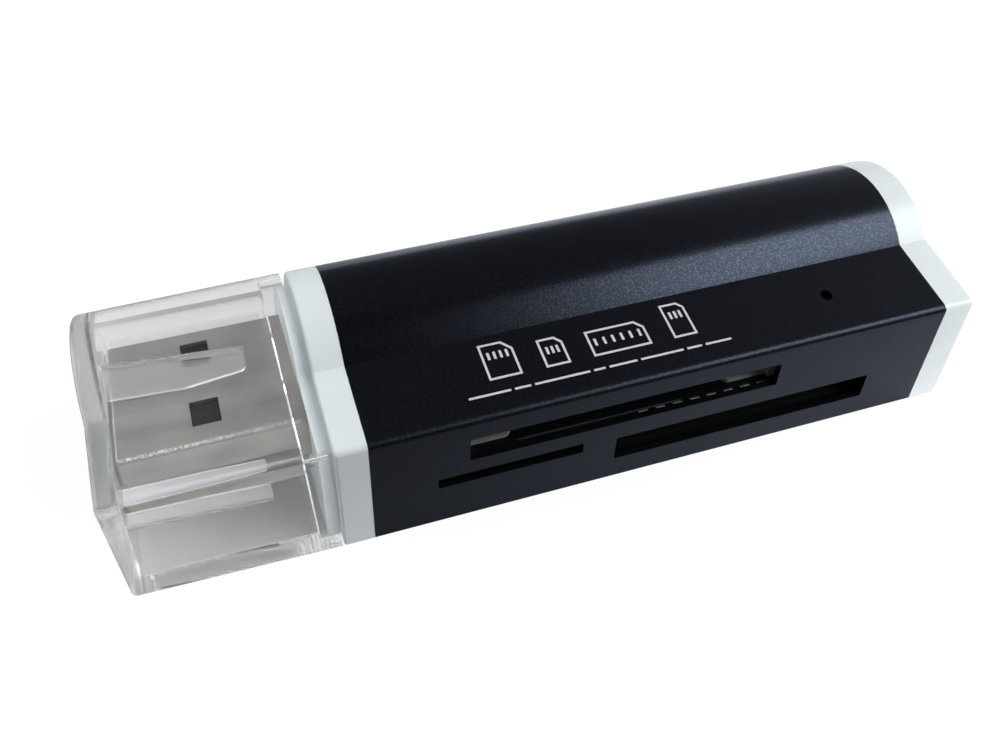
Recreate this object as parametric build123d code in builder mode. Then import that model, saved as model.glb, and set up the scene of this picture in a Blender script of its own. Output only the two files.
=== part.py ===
"""Pocket card reader with a plug on one end under a clear pull-off cap.

Frame: +X runs from the cap to the closed end, the slotted front face looks to -Y, +Z is up.
The origin is the middle of the footprint on the surface that the reader lies on. Millimetres.
"""

import os
from math import cos, radians, sin, sqrt, tan

from build123d import *

os.makedirs("parts", exist_ok=True)

# ---------------------------------------------------------------- driving sizes
# Section of the body: a round back that runs into a flat base, and a thinner front with a sloping shelf.
Y_FRONT = -9.63  # front face
DOME_R = 7.1  # round back, as tall as the body
DOME_Y = 2.53  # its axis
DOME_Z = DOME_R
SHELF_Z = 10.14  # height of the front face
SHELF_TILT = 11.07  # degrees, the shelf rises towards the dome
EDGE_R = 0.5  # upper front edge
LOW_R = 0.15  # lower front edge

# Stations along the length
X_CAP_END = -32.5  # at the foot
X_CAP_IN = -31.48  # inside of the cap's end wall
X_CAP_STEP = -19.11  # shoulder inside the cap's mouth, at the foot
X_CAP_MOUTH = -17.72  # at the foot
CAP_LEAN, MOUTH_LEAN = 2.6, 1.6  # degrees, these faces lean towards the plug's tip
X_BOSS = -18.6  # face of the collar's boss
X_COLLAR = -17.6
X_SHELL0 = -15.33
X_SHELL1 = 30.56
X_REAR = 33.05
SKIRT = 3.5  # how far both end pieces reach into the tube

WALL = 0.55  # extruded tube
SKIRT_GAP = 0.05
SKIRT_T = 0.75
CAP_WALL = 1.4
CAP_MOUTH_WALL = 0.9
BOSS_INSET = 0.98
CAP_DRAFT = 0.18  # how much smaller the cap is at its end, on each side
CAP_INNER_R = 1.2  # inside of the cap along its upper front edge
CAP_END_R = 0.35  # rounding of the cap's end
CAP_END_STEPS = 4
STEP_BREAK = 0.12  # broken edge of the shoulder in the cap
RIM_R = 0.12  # rounding of the closed end
COLLAR_R = 0.2

# Card slots in the front face: x start, width, z low, z high
WIDE = (-8.12, 24.6, 6.14, 8.31)
NARROW = (-10.47, 11.18, 3.85, 4.81)
STICK = (3.4, 21.76, 2.14, 4.47)
LED_X, LED_Y, LED_HOLE_R = 21.9, -6.12, 0.47

# Plug
PLUG_Y, PLUG_Z = 0.4, 7.15
PLUG_W, PLUG_H, PLUG_T = 12.0, 4.5, 0.3
PLUG_TIP, PLUG_REAR = -31.35, -12.4
PLUG_CORNER = 0.5
WINDOW_L, WINDOW_W = 2.0, 2.3  # latch windows
WINDOW_X = PLUG_TIP + 5.16 + WINDOW_L / 2
WINDOW_Y = 3.25  # each side of the middle
TONGUE_Z0, TONGUE_Z1 = 7.15, 9.04  # in the upper half, blades on its underside
BLADE_W, BLADE_T = 1.0, 0.25

# Circuit board
PCB_X0, PCB_X1 = -11.4, 26.5
PCB_Y0, PCB_Y1 = -9.03, 7.4
PCB_Z0, PCB_Z1 = 5.02, 5.82
PAD_T = 0.05

# Card frame above the board
FRAME_Y0, FRAME_Y1 = -8.43, 7.0
FRAME_BACK = 6.0
LEDGE_Z = 6.12
LEDGE_Y0, LEDGE_Y1 = -8.09, -1.0
LEDGE_LEFT, LEDGE_RIGHT = -4.44, 13.21  # free ends of the two ledges
FRAME_TOP = 8.37
ROOF_T = 0.6

# Trays under the board
TRAY_Y0, TRAY_Y1 = -8.53, 4.2
TRAY_TOP = 5.0
TRAY_BACK = 3.3


# ---------------------------------------------------------------- the section
def corners(inset):
    """Corner points (y, z) of the body's section, pulled inwards by inset."""
    t = radians(SHELF_TILT)
    slope = tan(t)
    at0 = SHELF_Z - slope * Y_FRONT - inset / cos(t)
    r = DOME_R - inset
    # where the shelf's line meets the dome's circle, on the front side
    a = 1 + slope * slope
    b = 2 * (slope * (at0 - DOME_Z) - DOME_Y)
    c = DOME_Y**2 + (at0 - DOME_Z) ** 2 - r * r
    y_kink = (-b - sqrt(b * b - 4 * a * c)) / (2 * a)
    front = Y_FRONT + inset
    return (
        (front, inset),
        (front, slope * front + at0),
        (y_kink, slope * y_kink + at0),
        (DOME_Y + r * cos(radians(20)), DOME_Z + r * sin(radians(20))),
        (DOME_Y, DOME_Z - r),
    )


def section(inset=0.0, top_r=None):
    """The body's section as a flat face, its first direction along Y and its second along Z."""
    low, top, kink, mid, under = corners(inset)
    with BuildSketch() as face:
        with BuildLine():
            Line(low, top)
            Line(top, kink)
            ThreePointArc(kink, mid, under)
            Line(under, low)
        make_face()
        fillet(face.vertices().group_by(Axis.X)[0].sort_by(Axis.Y)[0], radius=LOW_R)
        fillet(
            face.vertices().group_by(Axis.X)[0].sort_by(Axis.Y)[-1],
            radius=top_r or max(EDGE_R - inset, 0.2),
        )
    return face.sketch


def on_yz(x):
    return Plane.YZ.offset(x)


def leaning(x, lean=CAP_LEAN):
    """A cross plane of the clear cap that meets the floor at x and leans towards the plug's tip."""
    t = radians(lean)
    return Plane(origin=(x, 0, 0), x_dir=(0, 1, 0), z_dir=(cos(t), 0, sin(t)))


# ---------------------------------------------------------------- outer tube
with BuildPart() as shell:
    with BuildSketch(on_yz(X_SHELL0)):
        add(section())
        add(section(WALL), mode=Mode.SUBTRACT)
    extrude(amount=X_SHELL1 - X_SHELL0)
    # card slots through the front wall
    with BuildSketch(Plane.XZ.offset(-Y_FRONT)):
        for x, w, z0, z1 in (WIDE, NARROW, STICK):
            with Locations((x + w / 2, (z0 + z1) / 2)):
                RectangleRounded(w, z1 - z0, 0.12)
    extrude(amount=-1.6, both=False, mode=Mode.SUBTRACT)
    # the lamp's hole, square to the shelf
    shelf_z = SHELF_Z + tan(radians(SHELF_TILT)) * (LED_Y - Y_FRONT)
    lamp_plane = Plane(
        origin=(LED_X, LED_Y, shelf_z),
        x_dir=(1, 0, 0),
        z_dir=(0, -sin(radians(SHELF_TILT)), cos(radians(SHELF_TILT))),
    )
    with BuildSketch(lamp_plane):
        Circle(LED_HOLE_R)
    extrude(amount=-1.4, both=True, mode=Mode.SUBTRACT)
shell.part.label = "shell"

# ---------------------------------------------------------------- collar at the plug end
with BuildPart() as front_collar:
    with BuildSketch(on_yz(X_COLLAR)):
        add(section())
    extrude(amount=X_SHELL0 - X_COLLAR)
    fillet(front_collar.faces().sort_by(Axis.X)[0].edges(), radius=COLLAR_R)
    # boss that the cap seats on
    with BuildSketch(on_yz(X_BOSS)):
        add(section(BOSS_INSET))
    extrude(amount=X_COLLAR - X_BOSS)
    # skirt inside the tube
    with BuildSketch(on_yz(X_SHELL0)):
        add(section(WALL + SKIRT_GAP))
        add(section(WALL + SKIRT_GAP + SKIRT_T), mode=Mode.SUBTRACT)
    extrude(amount=SKIRT)
    # opening for the plug
    with BuildSketch(on_yz(X_BOSS - 0.5)):
        with Locations((PLUG_Y, PLUG_Z)):
            RectangleRounded(PLUG_W + 0.1, PLUG_H + 0.1, PLUG_CORNER + 0.05)
    extrude(amount=X_SHELL0 - X_BOSS + 0.6, mode=Mode.SUBTRACT)
front_collar.part.label = "front_collar"

# ---------------------------------------------------------------- closed end
with BuildPart() as rear_cap:
    with BuildSketch(on_yz(X_SHELL1)):
        add(section())
    extrude(amount=X_REAR - X_SHELL1)
    fillet(rear_cap.faces().sort_by(Axis.X)[-1].edges(), radius=RIM_R)
    with BuildSketch(on_yz(X_SHELL1 - SKIRT)):
        add(section(WALL + SKIRT_GAP))
        add(section(WALL + SKIRT_GAP + SKIRT_T), mode=Mode.SUBTRACT)
    extrude(amount=SKIRT)
rear_cap.part.label = "rear_cap"

# ---------------------------------------------------------------- clear cap
RIB_X1 = -21.85  # free end of the ribs
RIB_BEND = -26.2  # where their taper starts
RIB_W = 0.4
RIB_Y = 0.33  # front face of the upper and lower ribs at the end wall
RIB_TURN = 3.9  # degrees, these two run slightly towards the front
RIB_GAP = 0.12
SIDE_RIB_Z = 7.1  # top of the side ribs at the end wall
SIDE_RIB_FALL = 3.3  # degrees
with BuildPart() as usb_cap:
    # rounded end in short steps, then the walls with their draft
    for i in range(CAP_END_STEPS + 1):
        a = radians(90 * i / CAP_END_STEPS)
        drop = CAP_END_R * (1 - sin(a))
        with BuildSketch(leaning(X_CAP_END + CAP_END_R * (1 - cos(a)))):
            add(section(CAP_DRAFT + drop, max(EDGE_R - drop, 0.1)))
    with BuildSketch(leaning(X_CAP_MOUTH, MOUTH_LEAN)):
        add(section())
    loft(ruled=True)
    with BuildSketch(on_yz(X_CAP_IN)):
        add(section(CAP_WALL, CAP_INNER_R))
    extrude(amount=X_CAP_MOUTH - X_CAP_IN + 1, mode=Mode.SUBTRACT)
    with BuildSketch(leaning(X_CAP_STEP)):
        add(section(CAP_MOUTH_WALL))
    extrude(amount=4, dir=(1, 0, 0), mode=Mode.SUBTRACT)
    normal = leaning(X_CAP_STEP).z_dir
    shoulder = [
        f
        for f in usb_cap.faces().filter_by(GeomType.PLANE)
        if abs(f.normal_at().dot(normal)) > 0.9999
        and abs((f.center() - leaning(X_CAP_STEP).origin).dot(normal)) < 0.01
    ]
    chamfer(shoulder[0].inner_wires()[0].edges(), length=STEP_BREAK)
    # ribs round the plug, tapered where the plug enters
    plug_top = PLUG_Z + PLUG_H / 2 + RIB_GAP
    plug_low = PLUG_Z - PLUG_H / 2 - RIB_GAP
    turn = radians(RIB_TURN)
    rib_plane = Plane(
        origin=(X_CAP_IN, RIB_Y, 0),
        x_dir=(cos(turn), -sin(turn), 0),
        z_dir=(-sin(turn), -cos(turn), 0),
    )
    bend, tip = RIB_BEND - X_CAP_IN, RIB_X1 - X_CAP_IN
    with BuildSketch(rib_plane) as tall_ribs:
        with BuildLine():
            Polyline(
                (-0.3, plug_top),
                (bend, plug_top),
                (tip, plug_top + 0.85),
                (tip, 13.2),
                (-0.3, 13.2),
                close=True,
            )
        make_face()
        with BuildLine():
            Polyline(
                (-0.3, plug_low),
                (bend, plug_low),
                (tip, plug_low - 0.85),
                (tip, 0.7),
                (-0.3, 0.7),
                close=True,
            )
        make_face()
        fillet(
            tall_ribs.vertices().group_by(Axis.X)[-1].sort_by(Axis.Y)[1:3], radius=0.5
        )
    extrude(amount=-RIB_W)
    fall = radians(SIDE_RIB_FALL)
    side_plane = Plane(
        origin=(X_CAP_IN, 0, SIDE_RIB_Z),
        x_dir=(cos(fall), 0, -sin(fall)),
        z_dir=(sin(fall), 0, cos(fall)),
    )
    front_in = PLUG_Y - PLUG_W / 2 - 1.0
    back_in = PLUG_Y + PLUG_W / 2 + 1.0
    with BuildSketch(side_plane) as side_ribs:
        with BuildLine():
            Polyline(
                (-0.3, front_in),
                (bend, front_in),
                (tip, front_in - 0.2),
                (tip, Y_FRONT + 0.7),
                (-0.3, Y_FRONT + 0.7),
                close=True,
            )
        make_face()
        with BuildLine():
            Polyline(
                (-0.3, back_in),
                (bend, back_in),
                (tip, back_in + 0.2),
                (tip, DOME_Y + DOME_R - 0.7),
                (-0.3, DOME_Y + DOME_R - 0.7),
                close=True,
            )
        make_face()
        fillet(
            side_ribs.vertices().group_by(Axis.X)[-1].sort_by(Axis.Y)[1:3], radius=0.3
        )
    extrude(amount=-RIB_W)
usb_cap.part.label = "usb_cap"

# ---------------------------------------------------------------- plug
with BuildPart() as plug_shell:
    with BuildSketch(on_yz(PLUG_TIP)):
        with Locations((PLUG_Y, PLUG_Z)):
            RectangleRounded(PLUG_W, PLUG_H, PLUG_CORNER)
    extrude(amount=PLUG_REAR - PLUG_TIP)
    chamfer(plug_shell.faces().sort_by(Axis.X)[0].edges(), length=0.14)
    with BuildSketch(on_yz(PLUG_TIP)):
        with Locations((PLUG_Y, PLUG_Z)):
            RectangleRounded(
                PLUG_W - 2 * PLUG_T, PLUG_H - 2 * PLUG_T, PLUG_CORNER - PLUG_T
            )
    extrude(amount=PLUG_REAR - PLUG_TIP, mode=Mode.SUBTRACT)
    # latch windows, two above and two below
    with BuildSketch(Plane.XY.offset(PLUG_Z - PLUG_H)):
        with Locations(
            (WINDOW_X, PLUG_Y - WINDOW_Y), (WINDOW_X, PLUG_Y + WINDOW_Y)
        ):
            Rectangle(WINDOW_L, WINDOW_W)
    extrude(amount=2 * PLUG_H, mode=Mode.SUBTRACT)
    # side legs that go through the board
    for y in (PLUG_Y - PLUG_W / 2 + PLUG_T, PLUG_Y + PLUG_W / 2):
        with BuildSketch(Plane.XZ.offset(-y)):
            with BuildLine():
                Polyline(
                    (PLUG_REAR, 6.2),
                    (-10.6, 6.2),
                    (-10.6, PCB_Z0),
                    (-9.95, PCB_Z0),
                    (-9.95, 7.35),
                    (PLUG_REAR, 7.35),
                    close=True,
                )
            make_face()
        extrude(amount=PLUG_T)
plug_shell.part.label = "plug_shell"

# four blades that run from the tongue to the board
with BuildPart() as plug_contacts:
    for y, tip in ((-3.5, -29.6), (-1.0, -28.6), (1.0, -28.6), (3.5, -29.6)):
        with BuildSketch(Plane.XZ.offset(-(PLUG_Y + y - BLADE_W / 2))):
            with BuildLine():
                Polyline(
                    (tip, TONGUE_Z0 + BLADE_T),
                    (tip + 0.25, TONGUE_Z0),
                    (-11.5, TONGUE_Z0),
                    (-11.25, PCB_Z1),
                    (-10.0, PCB_Z1),
                    (-10.0, PCB_Z1 + BLADE_T),
                    (-11.05, PCB_Z1 + BLADE_T),
                    (-11.3, TONGUE_Z0 + BLADE_T),
                    close=True,
                )
            make_face()
        extrude(amount=-BLADE_W)
plug_contacts.part.label = "plug_contacts"

with BuildPart() as plug_insulator:
    # tongue
    with BuildSketch(on_yz(PLUG_TIP + 0.35)):
        with Locations((PLUG_Y, (TONGUE_Z0 + TONGUE_Z1) / 2)):
            Rectangle(PLUG_W - 2 * PLUG_T - 0.3, TONGUE_Z1 - TONGUE_Z0)
    extrude(amount=PLUG_REAR - PLUG_TIP - 0.35)
    chamfer(
        plug_insulator.faces().sort_by(Axis.X)[0].edges().filter_by(Axis.Y), length=0.3
    )
    # block that fills the rear of the shell
    with BuildSketch(on_yz(-21.2)):
        with Locations((PLUG_Y, PLUG_Z)):
            RectangleRounded(
                PLUG_W - 2 * PLUG_T - 0.04,
                PLUG_H - 2 * PLUG_T - 0.04,
                PLUG_CORNER - PLUG_T,
            )
    extrude(amount=PLUG_REAR + 21.2)
    add(plug_contacts.part, mode=Mode.SUBTRACT)
plug_insulator.part.label = "plug_insulator"

# ---------------------------------------------------------------- board
with BuildPart() as circuit_board:
    with BuildSketch(Plane.XY.offset(PCB_Z0)):
        with Locations(((PCB_X0 + PCB_X1) / 2, (PCB_Y0 + PCB_Y1) / 2)):
            RectangleRounded(PCB_X1 - PCB_X0, PCB_Y1 - PCB_Y0, 0.4)
        # slots for the plug's legs
        with Locations(
            (-10.275, PLUG_Y - PLUG_W / 2 + PLUG_T / 2),
            (-10.275, PLUG_Y + PLUG_W / 2 - PLUG_T / 2),
        ):
            Rectangle(0.85, 0.5, mode=Mode.SUBTRACT)
    extrude(amount=PCB_Z1 - PCB_Z0)
circuit_board.part.label = "circuit_board"

# tinned pads along the board's front edge, and a narrow tinned strip behind them
EDGE_X0, EDGE_PITCH, EDGE_N = 5.74, 1.426, 8
with BuildPart() as edge_pads:
    with BuildSketch(Plane.XY.offset(PCB_Z1)):
        for i in range(EDGE_N):
            with Locations((EDGE_X0 + i * EDGE_PITCH, PCB_Y0 + 0.19)):
                Rectangle(0.76, 0.32)
        with Locations((2.39, PCB_Y0 + 0.43)):
            Rectangle(13.1, 0.1)
    extrude(amount=PAD_T)
edge_pads.part.label = "edge_pads"

# ---------------------------------------------------------------- wide card, above the board
wx0, ww, wz0, wz1 = WIDE
wx1 = wx0 + ww
with BuildPart() as wide_card_frame:
    # side walls and back wall
    with BuildSketch(Plane.XY.offset(PCB_Z1)):
        with Locations(((wx0 + wx1) / 2, (FRAME_Y0 + FRAME_Y1) / 2)):
            Rectangle(ww + 2.9, FRAME_Y1 - FRAME_Y0)
        with Locations(((wx0 + wx1) / 2, (FRAME_Y0 - 1 + FRAME_BACK) / 2)):
            Rectangle(ww + 0.1, FRAME_BACK - FRAME_Y0 + 1, mode=Mode.SUBTRACT)
    extrude(amount=FRAME_TOP - PCB_Z1)
    # ledges that carry the card's edges
    with BuildSketch(Plane.XY.offset(PCB_Z1)):
        with BuildLine():
            Polyline(
                (wx0 - 0.05, LEDGE_Y0),
                (LEDGE_LEFT - 0.35, LEDGE_Y0),
                (LEDGE_LEFT, LEDGE_Y0 + 0.35),
                (LEDGE_LEFT, LEDGE_Y1),
                (wx0 - 0.05, LEDGE_Y1),
                close=True,
            )
        make_face()
        with BuildLine():
            Polyline(
                (wx1 + 0.05, LEDGE_Y0),
                (LEDGE_RIGHT, LEDGE_Y0),
                (LEDGE_RIGHT - 0.7, LEDGE_Y0 + 0.8),
                (LEDGE_RIGHT - 0.7, LEDGE_Y1),
                (wx1 + 0.05, LEDGE_Y1),
                close=True,
            )
        make_face()
    extrude(amount=LEDGE_Z - PCB_Z1)
wide_card_frame.part.label = "wide_card_frame"

with BuildPart() as wide_card_roof:
    with BuildSketch(Plane.XY.offset(FRAME_TOP)):
        with Locations(((wx0 + wx1) / 2, (FRAME_Y0 + FRAME_Y1) / 2)):
            RectangleRounded(ww + 2.9, FRAME_Y1 - FRAME_Y0, 0.4)
        # two spring tongues stamped in the plate
        for x in (-2.0, 10.4):
            with Locations((x, 0.4)):
                Rectangle(3.4, 6.4, mode=Mode.SUBTRACT)
            with Locations((x, 0.9)):
                Rectangle(2.4, 5.4)
    extrude(amount=ROOF_T)
wide_card_roof.part.label = "wide_card_roof"

# nine springs under the wide card
with BuildPart() as wide_card_contacts:
    for i in range(9):
        x = (wx0 + wx1) / 2 + (i - 4) * 2.5
        with BuildSketch(Plane.YZ.offset(x - 0.4)):
            with BuildLine():
                Polyline(
                    (5.85, PCB_Z1),
                    (5.85, PCB_Z1 + 0.15),
                    (4.6, PCB_Z1 + 0.15),
                    (1.5, 6.72),
                    (1.0, 6.72),
                    (0.3, 6.42),
                    (0.4, 6.29),
                    (1.05, 6.57),
                    (1.45, 6.57),
                    (4.5, PCB_Z1),
                    close=True,
                )
            make_face()
        extrude(amount=0.8)
wide_card_contacts.part.label = "wide_card_contacts"

# card-present switch: two springs beside the rear wall of the frame
with BuildPart() as card_switch:
    for x in (-7.55, -6.75):
        with BuildSketch(Plane.YZ.offset(x - 0.2)):
            with BuildLine():
                Polyline(
                    (5.85, PCB_Z1),
                    (5.85, PCB_Z1 + 0.15),
                    (5.2, PCB_Z1 + 0.15),
                    (4.95, 7.57),
                    (4.8, 7.57),
                    (5.05, PCB_Z1),
                    close=True,
                )
            make_face()
        extrude(amount=0.4)
card_switch.part.label = "card_switch"

# ---------------------------------------------------------------- narrow card, under the board
nx0, nw, nz0, nz1 = NARROW
nx1 = nx0 + nw
with BuildPart() as narrow_card_tray:
    with BuildSketch(Plane.XY.offset(3.07)):
        with Locations(((nx0 + nx1) / 2, (TRAY_Y0 + TRAY_Y1) / 2)):
            Rectangle(nw + 1.5, TRAY_Y1 - TRAY_Y0)
    extrude(amount=TRAY_TOP - 3.07)
    with BuildSketch(Plane.XY.offset(nz0 - 0.03)):
        with Locations(((nx0 + nx1) / 2, (TRAY_Y0 - 1 + TRAY_BACK) / 2)):
            Rectangle(nw + 0.06, TRAY_BACK - TRAY_Y0 + 1)
    extrude(amount=3, mode=Mode.SUBTRACT)
narrow_card_tray.part.label = "narrow_card_tray"

with BuildPart() as narrow_card_contacts:
    for i in range(8):
        x = (nx0 + nx1) / 2 + (i - 3.5) * 1.1
        with BuildSketch(Plane.YZ.offset(x - 0.25)):
            with BuildLine():
                Polyline(
                    (3.1, PCB_Z0),
                    (3.1, PCB_Z0 - 0.12),
                    (1.9, PCB_Z0 - 0.12),
                    (-0.6, 4.49),
                    (-1.0, 4.49),
                    (-1.5, 4.69),
                    (-1.42, 4.79),
                    (-0.95, 4.60),
                    (-0.65, 4.60),
                    (1.85, PCB_Z0),
                    close=True,
                )
            make_face()
        extrude(amount=0.5)
narrow_card_contacts.part.label = "narrow_card_contacts"

# ---------------------------------------------------------------- stick card, under the board
sx0, sw, sz0, sz1 = STICK
sx1 = sx0 + sw
with BuildPart() as stick_card_tray:
    with BuildSketch(Plane.XY.offset(1.37)):
        with Locations(((sx0 + sx1) / 2, (TRAY_Y0 + TRAY_Y1) / 2)):
            Rectangle(sw + 1.6, TRAY_Y1 - TRAY_Y0)
    extrude(amount=TRAY_TOP - 1.37)
    with BuildSketch(Plane.XY.offset(sz0 - 0.03)):
        with Locations(((sx0 + sx1) / 2, (TRAY_Y0 - 1 + TRAY_BACK) / 2)):
            Rectangle(sw + 0.06, TRAY_BACK - TRAY_Y0 + 1)
    extrude(amount=5, mode=Mode.SUBTRACT)
stick_card_tray.part.label = "stick_card_tray"

with BuildPart() as stick_card_contacts:
    for i in range(10):
        x = (sx0 + sx1) / 2 + (i - 4.5) * 1.6
        with BuildSketch(Plane.YZ.offset(x - 0.35)):
            with BuildLine():
                Polyline(
                    (3.1, PCB_Z0),
                    (3.1, PCB_Z0 - 0.15),
                    (1.9, PCB_Z0 - 0.15),
                    (-0.8, 4.02),
                    (-1.3, 4.02),
                    (-2.0, 4.32),
                    (-1.9, 4.45),
                    (-1.25, 4.17),
                    (-0.85, 4.17),
                    (1.85, PCB_Z0),
                    close=True,
                )
            make_face()
        extrude(amount=0.7)
stick_card_contacts.part.label = "stick_card_contacts"

# ---------------------------------------------------------------- parts on the board
CHIP_X, CHIP_Y, CHIP = 22.4, 2.2, 5.0
with BuildPart() as controller_chip:
    with BuildSketch(Plane.XY.offset(PCB_Z1 + 0.1)):
        with Locations((CHIP_X, CHIP_Y)):
            Rectangle(CHIP, CHIP)
    extrude(amount=0.9)
    chamfer(controller_chip.edges().group_by(Axis.Z)[-1], length=0.12)
    # pin one dimple
    with BuildSketch(Plane.XY.offset(PCB_Z1 + 1.0)):
        with Locations((CHIP_X - 1.8, CHIP_Y - 1.8)):
            Circle(0.3)
    extrude(amount=-0.06, mode=Mode.SUBTRACT)
controller_chip.part.label = "controller_chip"

# gull-wing leads, six on each side
with BuildPart() as controller_leads:
    for i in range(6):
        y = CHIP_Y + (i - 2.5) * 0.75
        with BuildSketch(Plane.XZ.offset(-(y - 0.15))):
            for s in (-1, 1):
                with BuildLine():
                    Polyline(
                        (CHIP_X + s * CHIP / 2, PCB_Z1 + 0.5),
                        (CHIP_X + s * CHIP / 2, PCB_Z1 + 0.65),
                        (CHIP_X + s * (CHIP / 2 + 0.35), PCB_Z1 + 0.65),
                        (CHIP_X + s * (CHIP / 2 + 0.5), PCB_Z1 + 0.15),
                        (CHIP_X + s * (CHIP / 2 + 0.95), PCB_Z1 + 0.15),
                        (CHIP_X + s * (CHIP / 2 + 0.95), PCB_Z1),
                        (CHIP_X + s * (CHIP / 2 + 0.4), PCB_Z1),
                        (CHIP_X + s * (CHIP / 2 + 0.25), PCB_Z1 + 0.5),
                        close=True,
                    )
                make_face()
        extrude(amount=-0.3)
controller_leads.part.label = "controller_leads"

with BuildPart() as crystal:
    with BuildSketch(Plane.XY.offset(PCB_Z1)):
        with Locations((22.3, -2.6)):
            RectangleRounded(5.0, 2.2, 0.35)
    extrude(amount=0.5)
    with BuildSketch(Plane.XY.offset(PCB_Z1 + 0.5)):
        with Locations((22.3, -2.6)):
            RectangleRounded(4.6, 1.8, 0.5)
    extrude(amount=0.7)
    fillet(crystal.faces().sort_by(Axis.Z)[-1].edges(), radius=0.2)
crystal.part.label = "crystal"

with BuildPart() as indicator_led:
    with BuildSketch(Plane.XY.offset(PCB_Z1)):
        with Locations((LED_X, LED_Y)):
            Rectangle(2.0, 1.25)
    extrude(amount=0.4)
indicator_led.part.label = "indicator_led"

with BuildPart() as led_lens:
    with BuildSketch(Plane.XY.offset(PCB_Z1 + 0.4)):
        with Locations((LED_X, LED_Y)):
            RectangleRounded(1.3, 1.2, 0.2)
    extrude(amount=0.5)
    fillet(led_lens.faces().sort_by(Axis.Z)[-1].edges(), radius=0.18)
led_lens.part.label = "led_lens"

with BuildPart() as regulator:
    with BuildSketch(Plane.XY.offset(PCB_Z1 + 0.1)):
        with Locations((20.6, 6.3)):
            Rectangle(2.9, 1.3)
    extrude(amount=1.0)
    chamfer(regulator.edges().group_by(Axis.Z)[-1], length=0.12)
regulator.part.label = "regulator"

with BuildPart() as regulator_leads:
    for x, s in ((19.65, -1), (21.55, -1), (20.6, 1)):
        if s < 0:
            y0 = 6.3 - 0.65
        else:
            y0 = 6.3 + 0.65
        with BuildSketch(Plane.YZ.offset(x - 0.2)):
            with BuildLine():
                Polyline(
                    (y0, PCB_Z1 + 0.5),
                    (y0, PCB_Z1 + 0.63),
                    (y0 + s * 0.2, PCB_Z1 + 0.63),
                    (y0 + s * 0.3, PCB_Z1 + 0.13),
                    (y0 + s * 0.42, PCB_Z1 + 0.13),
                    (y0 + s * 0.42, PCB_Z1),
                    (y0 + s * 0.2, PCB_Z1),
                    (y0 + s * 0.12, PCB_Z1 + 0.5),
                    close=True,
                )
            make_face()
        extrude(amount=0.4)
regulator_leads.part.label = "regulator_leads"

# two-ended chip parts lie along X; bodies and tinned ends are separate
CAPS = ((24.9, 6.35), (24.9, -0.85), (24.9, -6.2), (19.3, -7.6))
RESISTORS = ((24.9, -4.6), (24.9, -7.7), (19.4, -5.0))
with BuildPart() as chip_capacitors:
    for x, y in CAPS:
        with BuildSketch(Plane.XY.offset(PCB_Z1 + 0.02)):
            with Locations((x, y)):
                Rectangle(0.9, 0.8)
        extrude(amount=0.76)
chip_capacitors.part.label = "chip_capacitors"

with BuildPart() as chip_resistors:
    for x, y in RESISTORS:
        with BuildSketch(Plane.XY.offset(PCB_Z1 + 0.02)):
            with Locations((x, y)):
                Rectangle(0.9, 0.8)
        extrude(amount=0.4)
chip_resistors.part.label = "chip_resistors"

with BuildPart() as chip_terminals:
    for h, places in ((0.8, CAPS), (0.44, RESISTORS)):
        with BuildSketch(Plane.XY.offset(PCB_Z1)):
            for x, y in places:
                with Locations((x - 0.625, y), (x + 0.625, y)):
                    Rectangle(0.35, 0.84)
        extrude(amount=h)
chip_terminals.part.label = "chip_terminals"

# ---------------------------------------------------------------- write every piece
PIECES = (
    shell,
    front_collar,
    rear_cap,
    usb_cap,
    plug_shell,
    plug_insulator,
    plug_contacts,
    circuit_board,
    edge_pads,
    wide_card_frame,
    wide_card_roof,
    wide_card_contacts,
    card_switch,
    narrow_card_tray,
    narrow_card_contacts,
    stick_card_tray,
    stick_card_contacts,
    controller_chip,
    controller_leads,
    crystal,
    indicator_led,
    led_lens,
    regulator,
    regulator_leads,
    chip_capacitors,
    chip_resistors,
    chip_terminals,
)
for piece in PIECES:
    export_step(piece.part, f"parts/{piece.part.label}.step")
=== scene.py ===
"""Looks of the pocket card reader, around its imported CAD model. Metres, in the CAD frame."""

import math

import bmesh
import bpy
from mathutils import Matrix, Vector


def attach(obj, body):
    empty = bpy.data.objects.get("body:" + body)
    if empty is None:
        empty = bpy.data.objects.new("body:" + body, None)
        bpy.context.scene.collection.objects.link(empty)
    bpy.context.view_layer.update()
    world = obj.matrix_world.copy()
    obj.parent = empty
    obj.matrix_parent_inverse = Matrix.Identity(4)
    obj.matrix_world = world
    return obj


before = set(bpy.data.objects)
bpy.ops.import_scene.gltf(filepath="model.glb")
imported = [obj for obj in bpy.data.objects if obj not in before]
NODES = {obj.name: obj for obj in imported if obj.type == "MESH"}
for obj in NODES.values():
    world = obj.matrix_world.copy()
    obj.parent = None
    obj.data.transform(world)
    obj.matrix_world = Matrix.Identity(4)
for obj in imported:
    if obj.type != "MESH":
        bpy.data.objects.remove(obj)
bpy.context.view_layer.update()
SCENE = bpy.context.scene
MM = 0.001

# Sizes that the looks share with the CAD model, in metres
SHELL_X0, SHELL_X1 = -0.01533, 0.03056
Y_FRONT, SHELF_Z, SHELF_TILT = -0.00963, 0.01014, math.radians(11.07)
DOME_Y, DOME_Z, CAP_IN_R = 0.00253, 0.0071, 0.0057
PLUG_EDGE_Y, PLUG_EDGE_Z = -0.00545, 0.00925


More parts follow.
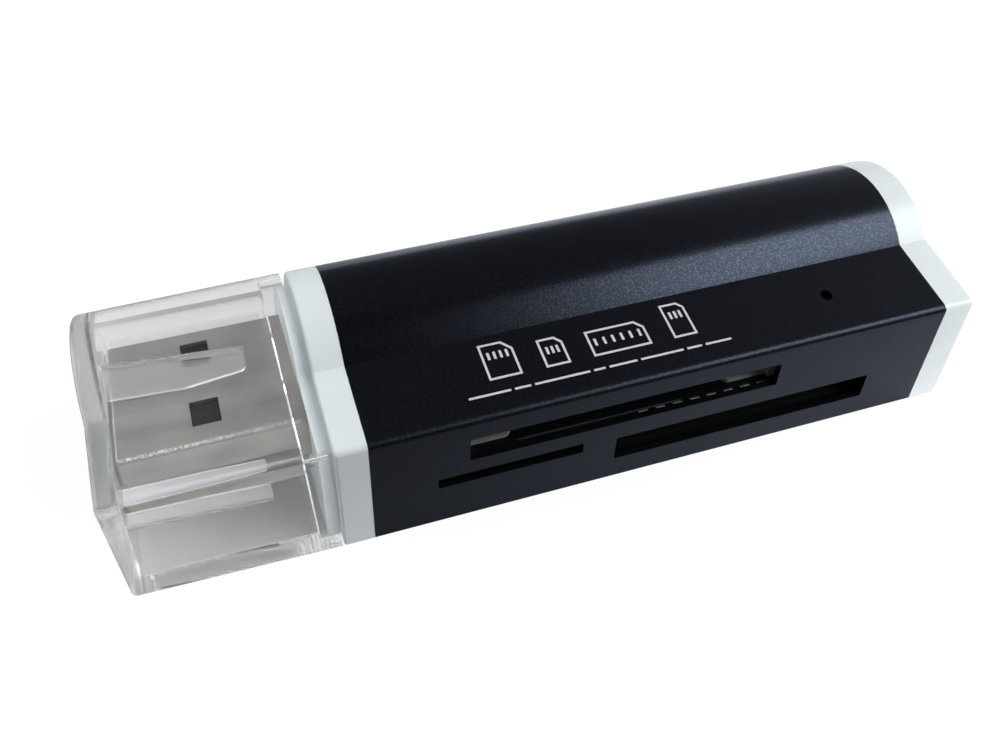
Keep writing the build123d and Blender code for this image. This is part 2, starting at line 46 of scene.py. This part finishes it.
# ------------------------------------------------------------------ node helpers
class Nodes:
    """A short way to write a node tree."""

    def __init__(self, tree):
        self.tree = tree
        tree.nodes.clear()

    def add(self, kind, **values):
        node = self.tree.nodes.new(kind)
        for key, value in values.items():
            setattr(node, key, value)
        return node

    def set(self, socket, value):
        if isinstance(value, bpy.types.NodeSocket):
            self.tree.links.new(value, socket)
        elif value is not None:
            socket.default_value = value
        return socket

    def math(self, operation, a, b=None, c=None, clamp=False):
        node = self.add("ShaderNodeMath", operation=operation, use_clamp=clamp)
        for socket, value in zip(node.inputs, (a, b, c)):
            self.set(socket, value)
        return node.outputs[0]

    def coords(self):
        return self.add("ShaderNodeTexCoord").outputs["Object"]

    def xyz(self, vector=None):
        node = self.add("ShaderNodeSeparateXYZ")
        self.set(node.inputs[0], vector or self.coords())
        return node.outputs

    def scaled(self, scale, vector=None):
        node = self.add("ShaderNodeMapping")
        self.set(node.inputs["Vector"], vector or self.coords())
        node.inputs["Scale"].default_value = scale
        return node.outputs[0]

    def noise(self, scale, detail=2.0, rough=0.5, vector=None, distort=0.0):
        node = self.add("ShaderNodeTexNoise")
        self.set(node.inputs["Vector"], vector or self.coords())
        node.inputs["Scale"].default_value = scale
        node.inputs["Detail"].default_value = detail
        node.inputs["Roughness"].default_value = rough
        node.inputs["Distortion"].default_value = distort
        return node.outputs["Fac"]

    def voronoi(self, scale, feature="F1", output="Distance", vector=None):
        node = self.add("ShaderNodeTexVoronoi", feature=feature)
        self.set(node.inputs["Vector"], vector or self.coords())
        node.inputs["Scale"].default_value = scale
        return node.outputs[output]

    def span(self, value, low, high, to_low=0.0, to_high=1.0, kind="LINEAR"):
        node = self.add("ShaderNodeMapRange", interpolation_type=kind)
        for socket, v in zip(node.inputs, (value, low, high, to_low, to_high)):
            self.set(socket, v)
        return node.outputs[0]

    def mix(self, factor, a, b):
        node = self.add("ShaderNodeMix", data_type="RGBA")
        self.set(node.inputs[0], factor)
        self.set(node.inputs[6], a)
        self.set(node.inputs[7], b)
        return node.outputs[2]

    def bump(self, height, strength, distance, normal=None):
        node = self.add("ShaderNodeBump")
        node.inputs["Strength"].default_value = strength
        node.inputs["Distance"].default_value = distance
        self.set(node.inputs["Height"], height)
        if normal is not None:
            self.set(node.inputs["Normal"], normal)
        return node.outputs[0]


def material(name):
    mat = bpy.data.materials.new(name)
    mat.use_nodes = True
    n = Nodes(mat.node_tree)
    shader = n.add("ShaderNodeBsdfPrincipled")
    out = n.add("ShaderNodeOutputMaterial")
    mat.node_tree.links.new(shader.outputs[0], out.inputs["Surface"])
    return mat, n, shader, out


def rgb(r, g, b):
    return (r, g, b, 1.0)


# ------------------------------------------------------------------ materials
def anodised():
    """Black anodised, finely blasted tube: dark dye, a satin gloss whose grain glints, bare metal on the sawn ends."""
    mat, n, s, out = material("black_anodised")
    x, y, z = n.xyz()
    grain = n.noise(12000, 0.5, 0.5)
    coarse = n.noise(6500, 0.5, 0.5)
    cloud = n.noise(240, 3.0, 0.5)
    # bare metal in a ragged line at the sawn ends
    ragged = n.noise(2400, 3.0, 0.7)
    end = n.math(
        "MINIMUM",
        n.math("SUBTRACT", x, SHELL_X0),
        n.math("SUBTRACT", SHELL_X1, x),
    )
    reach = n.span(ragged, 0.40, 0.80, -0.00005, 0.00013)
    bare_end = n.span(n.math("SUBTRACT", reach, end), 0.0, 0.00004)
    # bare-metal specks along the long front edge of the shelf: partly rubbed wear, partly a painted highlight that
    # lightens the edge's highlight line
    dy = n.math("SUBTRACT", y, Y_FRONT + 0.00016)
    dz = n.math("SUBTRACT", z, SHELF_Z - 0.00006)
    off = n.math("SQRT", n.math("ADD", n.math("MULTIPLY", dy, dy), n.math("MULTIPLY", dz, dz)))
    near = n.span(off, 0.00005, 0.00012, 1.0, 0.0)
    specks = n.span(n.noise(9000, 2.0, 0.6, vector=n.scaled((0.6, 1, 1))), 0.44, 0.70)
    edge_wear_and_painted_highlight = n.math("MULTIPLY", n.math("MULTIPLY", near, specks), 0.025)
    # the bare-metal mix carries the real bare sawn ends and the edge specks, which are partly a painted highlight
    bare = n.math("MAXIMUM", bare_end, edge_wear_and_painted_highlight, clamp=True)
    dye = n.mix(cloud, rgb(0.0020, 0.0020, 0.0024), rgb(0.0034, 0.0034, 0.0041))
    # blasted grains that glint where the light falls
    glint = n.span(n.noise(7000, 2.0, 0.7), 0.51, 0.57)
    dye = n.mix(glint, dye, rgb(0.0345, 0.0405, 0.0545))
    n.set(s.inputs["Base Color"], n.mix(bare, dye, rgb(0.50, 0.52, 0.54)))
    n.set(s.inputs["Metallic"], n.math("MAXIMUM", glint, n.math("MULTIPLY", bare, 0.6)))
    # the rounded front edge is rubbed duller
    rubbed = n.span(off, 0.00010, 0.00042, 0.16, 0.0)
    n.set(s.inputs["Roughness"], n.math("ADD", n.span(grain, 0.3, 0.7, 0.17, 0.22), rubbed))
    s.inputs["IOR"].default_value = 1.5
    s.inputs["Specular IOR Level"].default_value = 0.34
    s.inputs["Specular Tint"].default_value = rgb(0.60, 0.72, 1.0)
    height = n.math("ADD", grain, n.math("MULTIPLY", coarse, 0.6))
    n.set(s.inputs["Normal"], n.bump(height, 0.35, 0.000008))
    return mat


def white_plastic():
    """Moulded white, glossy, a little translucent, with a faint flow pattern."""
    mat, n, s, out = material("white_plastic")
    cloud = n.noise(330, 3.0, 0.5)
    n.set(
        s.inputs["Base Color"],
        n.mix(cloud, rgb(0.803, 0.858, 0.868), rgb(0.823, 0.875, 0.885)),
    )
    n.set(s.inputs["Roughness"], n.span(n.noise(1500, 3.0), 0.0, 1.0, 0.26, 0.33))
    s.inputs["Subsurface Weight"].default_value = 0.15
    s.inputs["Subsurface Radius"].default_value = (0.0006, 0.0006, 0.0005)
    s.inputs["Subsurface Scale"].default_value = 1.0
    n.set(s.inputs["Normal"], n.bump(n.noise(260, 1.0, 0.4), 0.10, 0.00002))
    return mat


def clear_plastic():
    """Clear moulded cap with faint rub marks and frosted ribs inside. Lamps shine through it."""
    mat, n, s, out = material("clear_plastic")
    s.inputs["Base Color"].default_value = rgb(0.985, 0.985, 0.99)
    s.inputs["IOR"].default_value = 1.49
    x, y, z = n.xyz()
    # the ribs lie inside the cap's inner walls and short of its shoulder
    dy = n.math("SUBTRACT", y, DOME_Y)
    dz = n.math("SUBTRACT", z, DOME_Z)
    from_axis = n.math("SQRT", n.math("ADD", n.math("MULTIPLY", dy, dy), n.math("MULTIPLY", dz, dz)))
    inside = n.math(
        "MAXIMUM",
        n.math("LESS_THAN", from_axis, CAP_IN_R - 0.00012),
        n.math(
            "MULTIPLY",
            n.math("GREATER_THAN", y, Y_FRONT + 0.00152),
            n.math("MULTIPLY", n.math("GREATER_THAN", z, 0.00152), n.math("LESS_THAN", z, 0.0085)),
        ),
    )
    rib = n.math(
        "MULTIPLY",
        inside,
        n.math("MULTIPLY", n.math("GREATER_THAN", x, -0.03138), n.math("LESS_THAN", x, -0.0199)),
    )
    rub = n.noise(1400, 3.0, 0.6, vector=n.scaled((0.25, 1.0, 1.0)))
    wall = n.span(rub, 0.45, 0.75, 0.01, 0.035)
    frost = n.math("MAXIMUM", n.math("MULTIPLY", rib, 0.18), n.span(x, -0.0323, -0.0316, 0.13, 0.0))
    n.set(s.inputs["Roughness"], n.math("ADD", wall, frost))
    n.set(s.inputs["Transmission Weight"], n.math("SUBTRACT", 1.0, n.math("MULTIPLY", rib, 0.13)))
    through = n.add("ShaderNodeBsdfTransparent")
    through.inputs["Color"].default_value = rgb(0.97, 0.97, 0.97)
    path = n.add("ShaderNodeLightPath")
    both = n.add("ShaderNodeMixShader")
    n.set(both.inputs[0], path.outputs["Is Shadow Ray"])
    n.set(both.inputs[1], s.outputs[0])
    n.set(both.inputs[2], through.outputs[0])
    n.set(out.inputs["Surface"], both.outputs[0])
    return mat


def nickel(name, tint, rough_low, rough_high, stretch, strength=0.2, worn_edge_and_painted_highlight=False):
    """Plated steel sheet with rolling marks along one direction, and if asked whitish specks along the front upper
    edge: partly worn plating, partly a painted highlight line.
    """
    mat, n, s, out = material(name)
    lines = n.noise(1.0, 3.0, 0.6, vector=n.scaled(stretch))
    stain = n.noise(240, 3.0, 0.55)
    dark = tuple(c * 0.80 for c in tint)
    colour = n.mix(n.span(stain, 0.35, 0.7), rgb(*tint), rgb(*dark))
    n.set(s.inputs["Base Color"], colour)
    s.inputs["Metallic"].default_value = 1.0
    n.set(s.inputs["Roughness"], n.span(lines, 0.3, 0.7, rough_low, rough_high))
    if worn_edge_and_painted_highlight:
        # painted highlight: whitish, less metallic specks along the plug's front upper edge, weaker towards the body
        # end, stand in for the edge's sparkling highlight line; partly worn plating
        x, y, z = n.xyz()
        dy = n.math("SUBTRACT", y, PLUG_EDGE_Y)
        dz = n.math("SUBTRACT", z, PLUG_EDGE_Z)
        off = n.math("SQRT", n.math("ADD", n.math("MULTIPLY", dy, dy), n.math("MULTIPLY", dz, dz)))
        near = n.span(off, 0.00008, 0.00016, 1.0, 0.0)
        specks = n.math("MULTIPLY", near, n.math("MULTIPLY", n.span(n.noise(6500, 2.0, 0.6), 0.40, 0.60), n.span(x, -0.0290, -0.0210, 1.0, 0.35)))
        n.set(s.inputs["Base Color"], n.mix(specks, colour, rgb(0.86, 0.85, 0.83)))
        n.set(s.inputs["Metallic"], n.math("SUBTRACT", 1.0, n.math("MULTIPLY", specks, 0.9)))
    skin = n.bump(lines, strength, 0.000012)
    n.set(s.inputs["Normal"], skin)
    return mat


def moulded(name, low, high, rough=(0.45, 0.62), grain=1800, strength=0.3, gloss=0.5):
    """Plain moulded plastic or ceramic with a fine skin."""
    mat, n, s, out = material(name)
    n.set(s.inputs["Base Color"], n.mix(n.noise(500, 3.0), rgb(*low), rgb(*high)))
    n.set(s.inputs["Roughness"], n.span(n.noise(grain, 2.0), 0.3, 0.7, *rough))
    s.inputs["Specular IOR Level"].default_value = gloss
    n.set(s.inputs["Normal"], n.bump(n.noise(grain, 3.0), strength, 0.00002))
    return mat


def metal(name, low, high, rough):
    mat, n, s, out = material(name)
    n.set(s.inputs["Base Color"], n.mix(n.noise(900, 3.0), rgb(*low), rgb(*high)))
    s.inputs["Metallic"].default_value = 1.0
    n.set(s.inputs["Roughness"], n.span(n.noise(2400, 2.0), 0.3, 0.7, *rough))
    n.set(s.inputs["Normal"], n.bump(n.noise(3000, 2.0), 0.15, 0.00001))
    return mat


def tinned_pads_painted_glint():
    """Tinned pads with a painted glint: a narrow light line along the board's edge, and dark colour round it that
    stands in for the shade inside the slot.
    """
    mat, n, s, out = material("tinned_pads_painted_glint")
    x, y, z = n.xyz()
    # painted highlight and painted shade: a narrow light band stands in for the pads' glint, and dark colour elsewhere
    # stands in for their shade
    glint_line_mask = n.span(n.math("ABSOLUTE", n.math("ADD", y, 0.00890)), 0.00006, 0.00010, 1.0, 0.0)
    n.set(s.inputs["Base Color"], n.mix(glint_line_mask, rgb(0.06, 0.06, 0.065), rgb(0.90, 0.90, 0.90)))
    n.set(s.inputs["Roughness"], n.span(n.noise(2400, 2.0), 0.3, 0.7, 0.30, 0.45))
    return mat


def print_ink():
    mat, n, s, out = material("print_white")
    n.set(
        s.inputs["Base Color"],
        n.mix(n.noise(4000, 2.0), rgb(0.56, 0.57, 0.59), rgb(0.70, 0.71, 0.73)),
    )
    s.inputs["Roughness"].default_value = 0.55
    n.set(s.inputs["Normal"], n.bump(n.noise(7000, 2.0), 0.3, 0.00001))
    return mat


M = {
    "black_anodised": anodised(),
    "white_plastic": white_plastic(),
    "clear_plastic": clear_plastic(),
    "nickel": nickel("nickel_plug", (0.495, 0.471, 0.443), 0.34, 0.44, (90, 2600, 2600), 0.04, True),
    "nickel_sheet": nickel("nickel_sheet", (0.66, 0.65, 0.62), 0.22, 0.36, (2200, 90, 2200)),
    "black_plastic": moulded("black_plastic", (0.004, 0.004, 0.0045), (0.008, 0.008, 0.009), gloss=0.25),
    "ivory_plastic": moulded("ivory_plastic", (0.27, 0.268, 0.255), (0.33, 0.327, 0.31)),
    "gilt": metal("gilt_contact", (0.78, 0.55, 0.22), (0.92, 0.70, 0.34), (0.18, 0.32)),
    "tinned": metal("tinned", (0.60, 0.61, 0.62), (0.80, 0.80, 0.79), (0.22, 0.40)),
    "tinned_pads_painted_glint": tinned_pads_painted_glint(),
    "board": moulded("board_mask", (0.0022, 0.0034, 0.0036), (0.004, 0.006, 0.006), (0.34, 0.5), gloss=0.25),
    "chip": moulded("chip_epoxy", (0.018, 0.018, 0.018), (0.032, 0.032, 0.032), (0.5, 0.7), 5200),
    "ceramic": moulded("ceramic_tan", (0.33, 0.22, 0.13), (0.46, 0.33, 0.20), (0.35, 0.5)),
    "lens": moulded("lens_red", (0.42, 0.05, 0.035), (0.55, 0.09, 0.06), (0.12, 0.22)),
    "ink": print_ink(),
}
FINISH = {
    "shell": "black_anodised",
    "front_collar": "white_plastic",
    "rear_cap": "white_plastic",
    "usb_cap": "clear_plastic",
    "plug_shell": "nickel",
    "plug_insulator": "black_plastic",
    "plug_contacts": "gilt",
    "circuit_board": "board",
    "edge_pads": "tinned_pads_painted_glint",
    "wide_card_frame": "ivory_plastic",
    "wide_card_roof": "nickel_sheet",
    "wide_card_contacts": "gilt",
    "card_switch": "gilt",
    "narrow_card_tray": "black_plastic",
    "narrow_card_contacts": "gilt",
    "stick_card_tray": "black_plastic",
    "stick_card_contacts": "gilt",
    "controller_chip": "chip",
    "controller_leads": "tinned",
    "crystal": "nickel_sheet",
    "indicator_led": "ivory_plastic",
    "led_lens": "lens",
    "regulator": "chip",
    "regulator_leads": "tinned",
    "chip_capacitors": "ceramic",
    "chip_resistors": "chip",
    "chip_terminals": "tinned",
}
for node, finish in FINISH.items():
    obj = NODES[node]
    for holder in obj.material_slots:
        holder.material = M[finish]


# ------------------------------------------------------------------ print on the shelf
def shelf_point(x, y, lift):
    """A point over the sloping shelf, lifted square to it. Millimetres in, metres out."""
    z = SHELF_Z + math.tan(SHELF_TILT) * (y * MM - Y_FRONT)
    return Vector(
        (x * MM, y * MM - math.sin(SHELF_TILT) * lift, z + math.cos(SHELF_TILT) * lift)
    )


def add_plate(bm, outline, holes=(), lift=0.000012):
    """A thin raised field of ink with the given outline, in shelf coordinates in millimetres."""
    rings = [outline, *holes]
    edges = []
    for ring in rings:
        vs = [bm.verts.new(shelf_point(x, y, lift)) for x, y in ring]
        edges += [bm.edges.new((vs[i], vs[(i + 1) % len(vs)])) for i in range(len(vs))]
    made = bmesh.ops.triangle_fill(bm, use_beauty=True, use_dissolve=False, edges=edges)
    return made


def card(x, y, w, h, clip, t):
    """Outline and inner ring of a card sign with one clipped corner."""

    def ring(i):
        c = clip - i * 0.42
        return [
            (x + i, y + i),
            (x + w - i, y + i),
            (x + w - i, y + h - i - c),
            (x + w - i - c, y + h - i),
            (x + i, y + h - i),
        ]

    return ring(0), ring(t)


def bar(x, y, w, h):
    return [(x, y), (x + w, y), (x + w, y + h), (x, y + h)]


def make_print():
    bm = bmesh.new()
    row = -6.82
    for x, w, h, clip, pins in (
        (-5.8, 2.5, 3.0, 0.7, 4),
        (-1.5, 1.9, 2.4, 0.5, 3),
        (2.2, 4.6, 2.2, 0.6, 6),
        (8.6, 1.9, 3.0, 0.45, 3),
    ):
        outer, inner = card(x, row, w, h, clip, 0.17)
        add_plate(bm, outer, [inner])
        step = (w - 1.1) / max(pins - 1, 1)
        for i in range(pins):
            add_plate(bm, bar(x + 0.55 - 0.1 + i * step, row + h - 1.35, 0.2, 0.62))
    x = -7.7
    for w in (3.1, 1.2, 4.2, 0.9, 2.2, 3.4, 1.2, 2.1):
        add_plate(bm, bar(x, -7.97, w, 0.17))
        x += w + 0.3
    mesh = bpy.data.meshes.new("shelf_print")
    bm.to_mesh(mesh)
    bm.free()
    obj = bpy.data.objects.new("shelf_print", mesh)
    SCENE.collection.objects.link(obj)
    mesh.materials.append(M["ink"])
    for p in mesh.polygons:
        if p.normal.z < 0:
            p.flip()
    return obj


shelf_print = make_print()
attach(shelf_print, "reader")


# ------------------------------------------------------------------ camera
camera_data = bpy.data.cameras.new("camera")
camera = bpy.data.objects.new("camera", camera_data)
SCENE.collection.objects.link(camera)
camera_data.sensor_fit = "HORIZONTAL"
camera_data.sensor_width = 36.0
camera_data.lens = 36.0
camera_data.shift_x = 0.041237
camera_data.shift_y = -0.083466
camera_data.clip_start = 0.001
camera_data.clip_end = 20.0
right = Vector((0.951938, -0.306247, 0.005301))
up = Vector((0.197055, 0.625591, 0.754854))
back = Vector((-0.234487, -0.717530, 0.655871))
place = Vector((-0.023096, -0.052566, 0.061433))
camera.matrix_world = Matrix(
    (
        (right.x, up.x, back.x, place.x),
        (right.y, up.y, back.y, place.y),
        (right.z, up.z, back.z, place.z),
        (0, 0, 0, 1),
    )
)
SCENE.camera = camera

# ------------------------------------------------------------------ floor, light
bm = bmesh.new()
bmesh.ops.create_circle(bm, cap_ends=True, segments=96, radius=3.0)
floor_mesh = bpy.data.meshes.new("floor")
bm.to_mesh(floor_mesh)
bm.free()
floor = bpy.data.objects.new("floor", floor_mesh)
floor.location.z = -0.00003
SCENE.collection.objects.link(floor)
# The floor is plain white in the picture, and white paper with painted shade and a painted glow through the clear cap.
# In reflections it is a grey with painted shade, lighter to the right and falling off in front.
floor_mat = bpy.data.materials.new("floor_white")
floor_mat.use_nodes = True
fn = Nodes(floor_mat.node_tree)
fx, fy, fz = fn.xyz()
# painted shade: the grey seen in reflections is lighter to the right, darker in front and slightly darker behind
side = fn.span(fx, -0.026, 0.016, 0.28, 1.0)
ahead = fn.span(fy, -0.034, -0.0110, 0.10, 1.0)
behind = fn.span(fy, 0.010, 0.030, 1.0, 0.9)
pale = fn.add("ShaderNodeBsdfDiffuse")
painted_floor_shade = fn.math("MULTIPLY", fn.math("MULTIPLY", side, ahead), behind)
shade = fn.add("ShaderNodeCombineColor")
for channel in shade.inputs[:3]:
    fn.set(channel, painted_floor_shade)
fn.set(pale.inputs["Color"], shade.outputs[0])
lit = fn.add("ShaderNodeBsdfDiffuse")
lit.inputs["Color"].default_value = rgb(0.15, 0.15, 0.15)
glow = fn.add("ShaderNodeEmission")
glow.inputs["Color"].default_value = rgb(1, 1, 1)
glow.inputs["Strength"].default_value = 0.90
white = fn.add("ShaderNodeAddShader")
fn.set(white.inputs[0], lit.outputs[0])
fn.set(white.inputs[1], glow.outputs[0])
paper = fn.add("ShaderNodeBsdfDiffuse")
# painted shade and painted light seen through the cap: the paper darkens towards the front, and a glow is added that
# is strong from the cap's front wall forward and faint behind it
sheet = fn.span(fy, 0.002, 0.014, 0.56, 0.80)
sheet_shade = fn.add("ShaderNodeCombineColor")
for channel in sheet_shade.inputs[:3]:
    fn.set(channel, sheet)
fn.set(paper.inputs["Color"], sheet_shade.outputs[0])
painted_glow = fn.add("ShaderNodeEmission")
painted_glow.inputs["Color"].default_value = rgb(0.98, 0.98, 1.0)
fn.set(painted_glow.inputs["Strength"], fn.span(fy, -0.0086, -0.0076, 0.40, 0.08))
behind_glass = fn.add("ShaderNodeAddShader")
fn.set(behind_glass.inputs[0], paper.outputs[0])
fn.set(behind_glass.inputs[1], painted_glow.outputs[0])
seen = fn.add("ShaderNodeLightPath")
other = fn.add("ShaderNodeMixShader")
fn.set(other.inputs[0], seen.outputs["Is Transmission Ray"])
fn.set(other.inputs[1], pale.outputs[0])
fn.set(other.inputs[2], behind_glass.outputs[0])
pick = fn.add("ShaderNodeMixShader")
fn.set(pick.inputs[0], seen.outputs["Is Camera Ray"])
fn.set(pick.inputs[1], other.outputs[0])
fn.set(pick.inputs[2], white.outputs[0])
fo = fn.add("ShaderNodeOutputMaterial")
fn.set(fo.inputs["Surface"], pick.outputs[0])
floor_mesh.materials.append(floor_mat)

# ------------------------------------------------------------------ light
# A soft lamp close to the closed end, which lights its white front and is not mirrored in the tube.
lamp_data = bpy.data.lights.new("end_lamp", "AREA")
lamp_data.shape = "SQUARE"
lamp_data.size = 0.02
lamp_data.energy = 0.0085
lamp = bpy.data.objects.new("end_lamp", lamp_data)
SCENE.collection.objects.link(lamp)
lamp.location = (0.062, -0.046, 0.014)
aim = Vector((0.032, -0.0096, 0.005)) - lamp.location
lamp.rotation_euler = aim.to_track_quat("-Z", "Y").to_euler()
lamp.visible_camera = False
lamp.visible_glossy = False
lamp.visible_transmission = False
# One soft surround: a dim room, a wide window to the front right, a softer one to the back left, and a dark front.
world = bpy.data.worlds.new("studio")
SCENE.world = world
world.use_nodes = True
wn = Nodes(world.node_tree)
heading = wn.add("ShaderNodeTexCoord").outputs["Generated"]
wx, wy, wz = wn.xyz(heading)


def along(x, y, z):
    """How far the direction looked in agrees with the given one."""
    length = math.sqrt(x * x + y * y + z * z)
    node = wn.add("ShaderNodeVectorMath", operation="DOT_PRODUCT")
    wn.set(node.inputs[0], heading)
    node.inputs[1].default_value = (x / length, y / length, z / length)
    return node.outputs["Value"]


def ramp(value, low, high, to_low=0.0, to_high=1.0):
    return wn.span(value, low, high, to_low, to_high, "SMOOTHSTEP")


def times(*values):
    total = values[0]
    for value in values[1:]:
        total = wn.math("MULTIPLY", total, value)
    return total


room = wn.math("ADD", ramp(wx, 0.30, 0.85, 0.155, 0.45), ramp(wx, 0.02, -0.35, 0.0, 0.75))
behind_camera = ramp(along(-0.26, -0.65, 0.716), 0.55, 0.85)
low_front = times(ramp(wy, -0.25, -0.70), ramp(wz, 0.75, 0.35))
room = times(room, wn.math("SUBTRACT", 1.0, wn.math("MULTIPLY", wn.math("MAXIMUM", behind_camera, low_front), 0.9)))
window = times(
    ramp(wx, 0.25, 0.53),
    ramp(along(-0.34, 1.0, 0.45), 0.025, -0.025),
    ramp(wz, 0.38, 0.48),
    ramp(wx, 0.95, 0.80),
)
back_left = ramp(along(-0.80, 0.30, 0.60), 0.78, 0.95)
light = wn.math("ADD", room, wn.math("ADD", wn.math("MULTIPLY", window, 5.9), wn.math("MULTIPLY", back_left, 1.2)))
# the surround is paler where it is seen through the clear cap
path = wn.add("ShaderNodeLightPath")
light = wn.math("ADD", light, wn.math("MULTIPLY", path.outputs["Is Transmission Ray"], 0.24))
background = wn.add("ShaderNodeBackground")
background.inputs["Color"].default_value = rgb(0.97, 0.985, 1.0)
wn.set(background.inputs["Strength"], light)
world_out = wn.add("ShaderNodeOutputWorld")
world.node_tree.links.new(background.outputs[0], world_out.inputs["Surface"])
SCENE.view_settings.view_transform = "Standard"
# light is turned back many times inside the clear cap's thick walls
SCENE.cycles.max_bounces = 72
SCENE.cycles.glossy_bounces = 72
SCENE.cycles.transmission_bounces = 72
SCENE.cycles.transparent_max_bounces = 16
